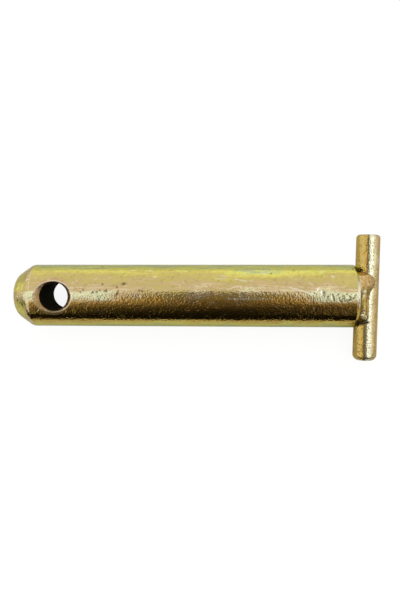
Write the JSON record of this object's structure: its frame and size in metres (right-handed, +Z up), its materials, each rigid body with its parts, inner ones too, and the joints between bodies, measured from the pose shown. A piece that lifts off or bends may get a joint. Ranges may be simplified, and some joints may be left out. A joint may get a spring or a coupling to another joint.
{
  "type": "clevis pin",
  "caption": "Welded T-handle clevis pin: a round shank with a conical nose and a countersunk cross hole for a linch pin, and a short bar handle across its end.",
  "frame": {"origin": "on the surface that the pin lies on, below the shank's axis, halfway between the nose and the handle's far side", "axes": "+X along the shank from the nose to the handle, +Z up; the pin is rolled about X until the handle's end on the -Y side touches the surface"},
  "size_m": [0.1492, 0.0499, 0.0254],
  "materials": {
    "zinc_shank": "yellow chromate over zinc plate, satin, iridescent from gold to pink and green, with pits and handling marks",
    "zinc_handle": "yellow chromate over zinc plate on hot-rolled bar, satin, finely pitted",
    "zinc_weld": "yellow chromate over zinc plate on an as-welded bead, glossy, gold to orange and pink"
  },
  "bodies": {
    "root": {"shank": "zinc_shank", "tee_handle": "zinc_handle", "upper_weld_bead": "zinc_weld", "lower_weld_bead": "zinc_weld"}
  },
  "joints": []
}
